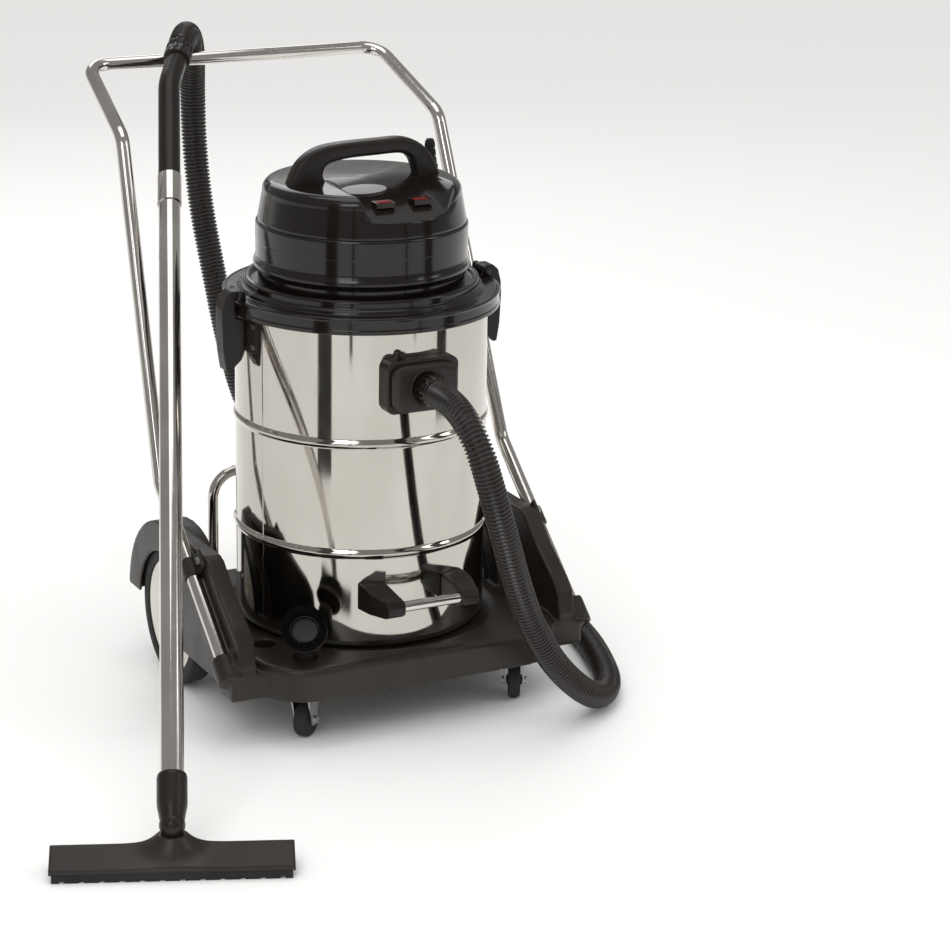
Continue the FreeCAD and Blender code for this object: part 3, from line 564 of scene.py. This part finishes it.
DRUM_R = 220.0
BEADS = (313.0, 508.7)
BEAD_RISE = 4.0
BEAD_REACH = 9.0
BEAD_STEPS = 15
DRUM_TOP = 722
DRUM_LOW = 140.5
SHEET = 1.2
SEAM_HEADING = (-0.965, -0.261)
SEAM_SECTION = ((-1.6, 0), (-0.9, 0.35), (0.9, 0.35), (1.6, 0), (1.6, -0.4), (-1.6, -0.4))


def drum_outline():
    """Outside of the drum from its bottom edge up, over both rolled beads."""
    outline = [(206, DRUM_LOW), (211, 141.5), (215.5, 144), (218.8, 148.5), (220, 155)]
    for bead in BEADS:
        for i in range(BEAD_STEPS):
            z = -1 + 2 * i / (BEAD_STEPS - 1)
            rise = BEAD_RISE * (0.5 + 0.5 * math.cos(math.pi * z)) ** 0.8
            outline.append((DRUM_R + rise, bead + BEAD_REACH * z))
    return outline + [(DRUM_R, DRUM_TOP)]


def make_drum():
    outline = drum_outline()
    inside = [(r - SHEET, z + (SHEET if z < 150 else 0)) for r, z in reversed(outline)]
    profile = [(0, DRUM_LOW)] + outline + inside + [(0, DRUM_LOW + SHEET)]
    shell = lathe("drum_shell", mm(profile), "drum_assembly", "polished_steel", radius=0, turns=256)
    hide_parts("drum")
    heading = math.atan2(SEAM_HEADING[1], SEAM_HEADING[0])
    rows = []
    for r, z in outline[4:]:
        ring = []
        for offset, lift in SEAM_SECTION:
            angle = heading + offset / DRUM_R
            ring.append(at((r + lift) * math.cos(angle), (r + lift) * math.sin(angle), z))
        rows.append(ring)
    verts, faces = skinned(rows)
    new_piece("weld_seam", verts, faces, "drum_assembly", "polished_steel")


RIM_PROFILE = (
    (60, 727.6), (236, 727.6), (236, 704), (238.5, 703.8), (240, 705.2), (240, 711), (239, 712.5),
    (239, 726.5), (240, 728), (240, 731), (238.4, 732.6), (235.4, 732.6), (233.6, 731),
    (216, 731), (212.8, 731.6), (211.8, 735.6), (208.6, 738.8), (205.2, 738.4), (204, 740.6),
    (203.8, 749.6), (201.6, 752.6), (195.6, 753), (193, 751), (192, 745), (60, 745), (60, 727.6))
HOUSING_PROFILE = (
    (120, 745), (179.4, 745), (179.4, 764), (182, 768.4), (186.4, 771), (187.7, 774), (187.5, 779),
    (185.4, 783.6), (183.4, 790), (183.2, 816), (183.4, 817), (183.4, 846.5), (181.6, 850),
    (120, 850), (120, 745))
LUG_Y = 20
PIN_X, PIN_Z = 234, 741
LUG_R = 7
LUG_LOW = 730.5


def make_head():
    """Collar that closes the drum, its ears for the latches, and the lower tier."""
    ring = lathe("rim_collar", mm(RIM_PROFILE), "head", "gloss_black", radius=0.0011, turns=240, steps=3)
    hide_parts("head_rim")
    for side in (-1, 1):
        for y in (-LUG_Y, LUG_Y):
            latch_lug(side, y)
    tier = lathe("lower_tier", mm(HOUSING_PROFILE), "head", "gloss_black", radius=0.0014, turns=240,
                 steps=3)
    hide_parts("motor_housing")


def latch_lug(side, y):
    """Ear that a latch's pin runs in."""
    outline = [(PIN_X - LUG_R - 0.5, LUG_LOW)]
    for i in range(13):
        angle = math.pi * (1 - i / 12)
        outline.append((PIN_X + LUG_R * math.cos(angle), PIN_Z + LUG_R * math.sin(angle)))
    outline.append((PIN_X + LUG_R, LUG_LOW))
    middle = PIN_Z - 3
    rings = []
    for depth, inset in ((-3, 0.8), (-2.2, 0), (2.2, 0), (3, 0.8)):
        size = 1 - inset / 8
        rings.append([at(side * (PIN_X + (x - PIN_X) * size), y + depth, middle + (z - middle) * size)
                      for x, z in outline])
    verts, faces = skinned(rings)
    name = "latch_lug_" + ("left" if side < 0 else "right") + ("_front" if y < 0 else "_rear")
    new_piece(name, verts, faces, "head", "satin_black")


DOME_TOP = 922
CROWN_R = 18              # rounding of the dome's upper edge
PANEL_SLOPE = 42 / 171
PANEL_LEFT = (-74, -60)   # where the switch panel's sides begin and end
PANEL_RIGHT = (84, 132)
PANEL_EASE = 6            # half width of the bend where the panel starts


def pressed(x, y, z):
    """Height of a point of the dome once the switch panel is pressed into it."""
    if y >= 14 or z <= 860:
        return z
    share = smoothstep(*PANEL_LEFT, x) * (1 - smoothstep(*PANEL_RIGHT, x))
    over = z - (DOME_TOP - 1 + PANEL_SLOPE * y)
    if over < -PANEL_EASE:
        return z
    drop = over if over > PANEL_EASE else (over + PANEL_EASE) ** 2 / (4 * PANEL_EASE)
    return z - drop * share


def make_dome():
    """Upper tier: turned shell whose front is pressed down into the switch panel."""
    profile = [(150, 850), (179.6, 850), (180.4, 851.6), (179.4, 856)]
    profile += [(179.4 - 8.0 * (z - 856) / 44, z) for z in range(860, 901, 4)]
    for i in range(11):
        angle = math.pi / 2 * i / 10
        profile.append((153.4 + CROWN_R * math.cos(angle), 902 + CROWN_R * math.sin(angle)))
    profile += [(r, 920 + 2 * (1 - r / 150)) for r in range(148, 3, -4)] + [(0, DOME_TOP)]
    verts, faces = lathe_mesh(mm(profile), 320, Matrix.Identity(4))
    made = []
    for v in verts:
        x, y, z = (c * 1000 for c in v)
        made.append(at(x, y, pressed(x, y, z)))
    dome = new_piece("upper_tier", made, faces, "head", "gloss_black")
    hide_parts("dome")


# middle line of the carry handle as (x, z, half thickness)
HANDLE_LINE = ((-108, 896, 35), (-107, 915, 35), (-101, 942, 26), (-80, 963, 17), (-40, 971, 14.2),
               (20, 973, 13.6), (70, 973, 13.8), (97, 961, 16), (113, 938, 20), (122, 910, 24),
               (124, 894, 25))
HANDLE_DEPTH = 16.5
GLAND_X, GLAND_Y = 146, 34
INLET_Z = 614


def make_carry_handle():
    rings = []
    rows = eased(HANDLE_LINE, 70)
    for i, (x, z, half) in enumerate(rows):
        ahead = rows[min(i + 1, len(rows) - 1)]
        behind = rows[max(i - 1, 0)]
        heading = Vector((ahead[0] - behind[0], 0, ahead[1] - behind[1])).normalized()
        across = Vector((heading.z, 0, -heading.x))
        rings.append([at(*(Vector((x, 0, z)) + across * a + Vector((0, b, 0))))
                      for a, b in superellipse(half, HANDLE_DEPTH, 4.0, 48)])
    verts, faces = skinned(rings)
    handle = new_piece("carry_grip", verts, faces, "head", "satin_black")
    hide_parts("carry_handle")


def make_gland():
    """Cord gland: tapered post of three fluted rings."""
    place = Matrix.Translation(at(GLAND_X, GLAND_Y, 0))
    stations = [(0.905, 0.0150, 0), (0.926, 0.0146, 0), (0.9275, 0.0128, 0)]
    for z, r in ((0.930, 0.0128), (0.944, 0.0112), (0.958, 0.0096)):
        stations += [(z, r, 0.0018), (z + 0.009, r - 0.0012, 0.0018), (z + 0.0105, r - 0.003, 0.0006)]
    stations += [(0.970, 0.0072, 0), (0.9712, 0.0055, 0)]
    post = fluted("cord_gland_post", stations, "head", "satin_black", place, 10)
    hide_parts("cord_gland")


def make_inlet():
    """Domed block on the drum, the collar in it and the hose's fluted cuff."""
    rings = []
    for y, w, h in ((-243, 61, 40), (-250, 61, 40), (-253.5, 60, 39), (-256.3, 57.4, 36.4),
                    (-257.7, 53, 32), (-258, 47, 27), (-258, 30, 24)):
        rings.append([at(a, y, INLET_Z + b) for a, b in superellipse(w, h, 5.2, 96)][::-1])
    verts, faces = skinned(rings)
    block = new_piece("inlet_housing", verts, faces, "drum_assembly", "cart_plastic")
    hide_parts("inlet_box")
    collar = [(0.02, 0), (0.0335, 0), (0.0335, 0.003), (0.0318, 0.005), (0.0282, 0.005),
              (0.0276, 0.001), (0.02, 0.001)]
    lathe("inlet_collar", collar, "drum_assembly", "satin_black",
          along(at(0, -256.2, INLET_Z), (0, -1, 0)), 0.0008, 96)
    place = along(at(0, -257, INLET_Z), (0, -1, 0))
    stations = [(0, 0.0262, 0), (0.003, 0.0266, 0), (0.0045, 0.0272, 0.0026), (0.010, 0.0274, 0.0028),
                (0.026, 0.0272, 0.0028), (0.029, 0.0268, 0.002), (0.030, 0.0254, 0), (0.0315, 0.0252, 0),
                (0.0345, 0.0252, 0), (0.0385, 0.0247, 0), (0.039, 0.0225, 0)]
    cuff = fluted("hose_inlet_cuff", stations, body_of("inlet_cuff"), "gloss_black", place, 14)
    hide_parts("inlet_cuff")


BRUSH_X, BRUSH_Y = -197, -201
BRUSH_KNEE_Z = 185
BRUSH_FACE = (-0.38, -0.72, 0.58)
STRANDS = 4200
STRAND_ROOT = 0.0275


def make_brush():
    """Dust brush in its socket: stem, cup and a ring of separate strands."""
    place = along(at(BRUSH_X, BRUSH_Y, BRUSH_KNEE_Z), Vector(BRUSH_FACE).normalized())
    profile = [(0, 0.004), (0.016, 0.004), (0.024, 0.008), (0.034, 0.0155), (0.0388, 0.0175),
               (0.0392, 0.0265), (0.0378, 0.0285), (0.0240, 0.0285), (0.0225, 0.027),
               (0.0225, 0.0205), (0, 0.0205)]
    cup = lathe("brush_cup", profile, "brush", "cart_plastic", place, 0.0012, 96, 3)
    stem = mm([(0, 111), (17, 111), (19.2, 113), (19.5, 150), (19.5, 172)])
    for degrees in range(0, 91, 15):
        angle = math.radians(degrees)
        stem.append((0.0193 * math.cos(angle), 0.185 + 0.0193 * math.sin(angle)))
    lathe("brush_stem", stem, "brush", "cart_plastic", Matrix.Translation(at(BRUSH_X, BRUSH_Y, 0)),
          0.0008, 64, 2)
    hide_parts("dust_brush")
    draw = random.Random(7)
    verts, faces = [], []
    for _ in range(STRANDS):
        angle = draw.uniform(0, 2 * math.pi)
        radius = draw.uniform(0.0252, 0.0382)
        length = draw.uniform(0.021, 0.0245)
        lean = draw.uniform(-0.0014, 0.0026)
        thick = draw.uniform(0.00035, 0.0006)
        turn = draw.uniform(0, 2 * math.pi)
        base = len(verts)
        for along_z, out, size in ((STRAND_ROOT, 0, thick), (STRAND_ROOT + length, lean, thick * 0.6)):
            for k in range(3):
                a = turn + k * 2 * math.pi / 3
                x = (radius + out) * math.cos(angle) + size * math.cos(a)
                y = (radius + out) * math.sin(angle) + size * math.sin(a)
                verts.append(place @ Vector((x, y, along_z)))
        for k in range(3):
            j = (k + 1) % 3
            faces.append((base + k, base + j, base + 3 + j, base + 3 + k))
        faces += [(base + 2, base + 1, base), (base + 3, base + 4, base + 5)]
    strands = new_piece("brush_strands", verts, faces, "brush", "bristle", smooth=False)
    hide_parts("dust_bristles")


WHEEL_IN, WHEEL_Y, WHEEL_R = 270, 134, 124
DISC_PROFILE = (
    (8.1, 1), (22, 1), (22, 10), (26, 14), (82, 14), (88, 9), (101.8, 9), (101.8, 39), (98, 41),
    (92, 41), (87, 37), (82, 33), (60, 31), (36, 33), (30, 38), (22, 41), (8.1, 41), (8.1, 1))


def make_wheels():
    """Rear wheels: dished disc and a tyre with two grooves."""
    tread = [(102, 0), (116, 0), (121, 2), (123.4, 7), (WHEEL_R, 14)]
    for z in (18, 27):
        tread += [(WHEEL_R, z - 1), (122.6, z), (122.6, z + 1.5), (WHEEL_R, z + 2.5)]
    tread += [(WHEEL_R, 31), (123.4, 38), (121, 43), (116, 45), (106, 45), (104, 43.5), (102, 43.5),
              (102, 0)]
    for name, side in (("left", -1), ("right", 1)):
        place = along(at(side * WHEEL_IN, WHEEL_Y, WHEEL_R), (side, 0, 0))
        body = name + "_wheel"
        tyre = lathe(name + "_tyre", mm(tread), body, "wheel_rubber", place, 0.001, 160, steps=2)
        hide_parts(name + "_wheel_tyre")
        hub = lathe(name + "_disc", mm(DISC_PROFILE), body, "wheel_disc", place, 0.0014, 128, steps=3)
        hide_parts(name + "_wheel_hub")


WAND_FOOT = at(-594, -585, 70)
WAND_BEND = at(-182, 430, 1022)
WAND_HEADING = (WAND_BEND - WAND_FOOT).normalized()
GRIP_HEADING = Vector((0.497, 0.765, 0.410)).normalized()
SWIVEL_START = 0.078
BALL_R = 0.0205


def make_wand():
    """The hose's cuff at the wand's end, and the socket and ball at its foot."""
    place = along(WAND_BEND + GRIP_HEADING * SWIVEL_START, GRIP_HEADING)
    stations = [(0, 0.0205, 0), (0.001, 0.0246, 0), (0.003, 0.025, 0.0014), (0.012, 0.025, 0.0022),
                (0.022, 0.025, 0.0022), (0.0225, 0.0225, 0), (0.0245, 0.0225, 0), (0.025, 0.025, 0.0022),
                (0.038, 0.0248, 0.0022), (0.043, 0.0235, 0.001), (0.044, 0.021, 0)]
    cuff = fluted("wand_swivel", stations, body_of("swivel_cuff"), "satin_black", place, 12)
    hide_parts("swivel_cuff")
    foot = along(WAND_FOOT, WAND_HEADING)
    neck = body_of("tool_neck")
    profile = [(0, 0.001), (0.0165, 0.001), (0.0195, 0.008), (0.0215, 0.02), (0.0235, 0.03),
               (0.0241, 0.038), (0.0241, 0.079), (0.0232, 0.0815), (0.0232, 0.0835),
               (0.0222, 0.085), (0.0191, 0.085), (0.0191, 0.03), (0, 0.03)]
    socket = lathe("wand_socket", profile, neck, "satin_black", foot, 0.0012, 96, 3)
    ball = []
    for degrees in range(-90, 91, 9):
        angle = math.radians(degrees)
        ball.append((BALL_R * math.cos(angle), BALL_R * math.sin(angle)))
    lathe("wand_knuckle", ball, neck, "satin_black", foot, 0, 72)
    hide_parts("tool_neck")


TOOL_HALF = 188
TOOL_FRONT, TOOL_BACK = -52, 12


def squeegee_height(u, y):
    """Top surface of the floor tool: a sloping bar that sweeps up into the ball joint's seat."""
    base = 22 + (y + 52) / 64 * 19 - 5 * smoothstep(4, 12, y)
    reach = max(math.hypot(u, 1.15 * (y + 2)) - 23, 0)
    seat = base + (57 - base) * math.exp(-((reach / 15) ** 1.15))
    facet = 19 + 34 * min((y + 54) / 31, 1) * max(1 - abs(u) / 58, 0)
    return max(seat, facet)


def squeegee_ring(u, across):
    """Outline of the floor tool at a distance from its middle, in (forward, up) millimetres."""
    end = 1.6 if abs(u) > TOOL_HALF - 0.5 else (0.4 if abs(u) > TOOL_HALF - 2 else 0)
    ring = []
    for y in across:
        edge = 1.8 if y in (TOOL_FRONT, TOOL_BACK) else 0
        ring.append((y, squeegee_height(u, y) - edge - end))
    return ring + [(y, 14) for y in (TOOL_BACK, -20, TOOL_FRONT)]


def make_squeegee():
    """Floor tool: a long bar that sweeps up to the wand's ball joint."""
    ahead = Vector((WAND_HEADING.x, WAND_HEADING.y, 0)).normalized()
    level = Vector((ahead.y, -ahead.x, 0))
    foot = Vector((WAND_FOOT.x, WAND_FOOT.y, 0))
    across = [TOOL_FRONT, -51.2] + [-50 + 62 * i / 40 for i in range(40)] + [11.3, TOOL_BACK]
    columns = [-TOOL_HALF, -187.2] + [-185 + 370 * i / 200 for i in range(201)] + [187.2, TOOL_HALF]
    rings = []
    for u in columns:
        rings.append([foot + level * u / 1000 + ahead * y / 1000 + Vector((0, 0, z / 1000))
                      for y, z in squeegee_ring(u, across)])
    verts, faces = skinned(rings)
    bar = new_piece("squeegee_bar", verts, faces, body_of("floor_tool"), "cart_plastic")
    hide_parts("floor_tool")


def make_soft_pieces():
    for name, node, look, voxel, passes in (
            ("cart_moulding", "cart_body", "cart_plastic", 0.0034, 4),
            ("left_latch_lever_body", "left_latch", "satin_black", 0.0011, 6),
            ("right_latch_lever_body", "right_latch", "satin_black", 0.0011, 6),
            ("inlet_backplate", "inlet_flange", "cart_plastic", 0.0014, 4),
            ("tilt_ears", "tilt_brackets", "satin_black", 0.0013, 8),
            ("clamp_collars", "handle_clamps", "cart_plastic", 0.0013, 5)):
        softened(name, node, look, voxel, passes)


# ---------------------------------------------------------------- studio

def make_world():
    """Pale surroundings that shine only faintly on glossy surfaces."""
    world = bpy.data.worlds.new("studio")
    SCENE.world = world
    world.use_nodes = True
    tree = world.node_tree
    output = tree.nodes["World Output"]
    pale = tree.nodes["Background"]
    pale.inputs["Color"].default_value = (1.0, 0.995, 0.985, 1)
    pale.inputs["Strength"].default_value = WORLD_LIGHT
    dim = tree.nodes.new("ShaderNodeBackground")
    dim.inputs["Color"].default_value = (1.0, 0.985, 0.96, 1)
    dim.inputs["Strength"].default_value = WORLD_GLOSS
    path = tree.nodes.new("ShaderNodeLightPath")
    mix = tree.nodes.new("ShaderNodeMixShader")
    tree.links.new(path.outputs["Is Glossy Ray"], mix.inputs["Fac"])
    tree.links.new(pale.outputs["Background"], mix.inputs[1])
    tree.links.new(dim.outputs["Background"], mix.inputs[2])
    tree.links.new(mix.outputs["Shader"], output.inputs["Surface"])


WORLD_LIGHT = 0.72
WORLD_GLOSS = 0.3
SUN_STRENGTH = 0.75
FLOOR_HALF = 30.0
LIGHT_TARGET = Vector((0.2, 0, 0.5))
LIGHTS = (("key", (-3.2, -3.4, 3.8), 2.6, 60), ("fill", (3.6, -2.6, 3.2), 2.2, 30),
          ("top", (0.2, 0.4, 4.6), 3.0, 40), ("back", (1.0, 4.0, 3.0), 2.4, 26))
FLAGS = (("flag_left", 214, 1.6, 0.34, 2.2), ("flag_left_far", 236, 2.6, 0.12, 2.0),
         ("flag_right", 318, 2.0, 0.36, 2.2), ("flag_right_far", 292, 2.8, 0.12, 2.0))


def make_studio():
    make_world()
    floor_mesh = bpy.data.meshes.new("floor")
    half = FLOOR_HALF
    floor_mesh.from_pydata([(-half, -half, 0), (half, -half, 0), (half, half, 0), (-half, half, 0)], [],
                           [(0, 1, 2, 3)])
    floor = bpy.data.objects.new("floor", floor_mesh)
    floor.location.z = -0.0005
    SCENE.collection.objects.link(floor)
    made, _, shader = node_tree("floor")
    shader.inputs["Base Color"].default_value = (0.86, 0.855, 0.845, 1)
    shader.inputs["Roughness"].default_value = 0.75
    floor_mesh.materials.append(made)
    for name, place, size, power in LIGHTS:
        light = bpy.data.lights.new(name, "AREA")
        light.shape = "SQUARE"
        light.size = size
        light.energy = power
        lamp = bpy.data.objects.new(name, light)
        lamp.location = place
        lamp.rotation_euler = (LIGHT_TARGET - Vector(place)).to_track_quat("-Z", "Y").to_euler()
        SCENE.collection.objects.link(lamp)
    sun = bpy.data.lights.new("sun", "SUN")
    sun.energy = SUN_STRENGTH
    sun.angle = math.radians(50)
    lamp = bpy.data.objects.new("sun", sun)
    lamp.rotation_euler = (math.radians(18), math.radians(-14), 0)
    lamp.visible_glossy = False
    SCENE.collection.objects.link(lamp)
    flag_look, _, shader = node_tree("flag")
    shader.inputs["Base Color"].default_value = (0.02, 0.018, 0.016, 1)
    for name, angle, distance, width, height in FLAGS:
        turn = math.radians(angle)
        centre = AXIS + Vector((math.cos(turn), math.sin(turn), 0)) * distance
        across = Vector((-math.sin(turn), math.cos(turn), 0)) * width / 2
        mesh = bpy.data.meshes.new(name)
        mesh.from_pydata([centre - across, centre + across, centre + across + Vector((0, 0, height)),
                          centre - across + Vector((0, 0, height))], [], [(0, 1, 2, 3)])
        mesh.materials.append(flag_look)
        flag = bpy.data.objects.new(name, mesh)
        flag.visible_camera = False
        flag.visible_diffuse = False
        flag.visible_shadow = False
        SCENE.collection.objects.link(flag)


def main():
    SCENE.view_settings.view_transform = "Standard"
    make_camera()
    paint_nodes()
    make_hose()
    make_drum()
    make_head()
    make_dome()
    make_carry_handle()
    make_gland()
    make_inlet()
    make_brush()
    make_wheels()
    make_wand()
    make_squeegee()
    make_soft_pieces()
    make_studio()


main()
bpy.context.view_layer.update()
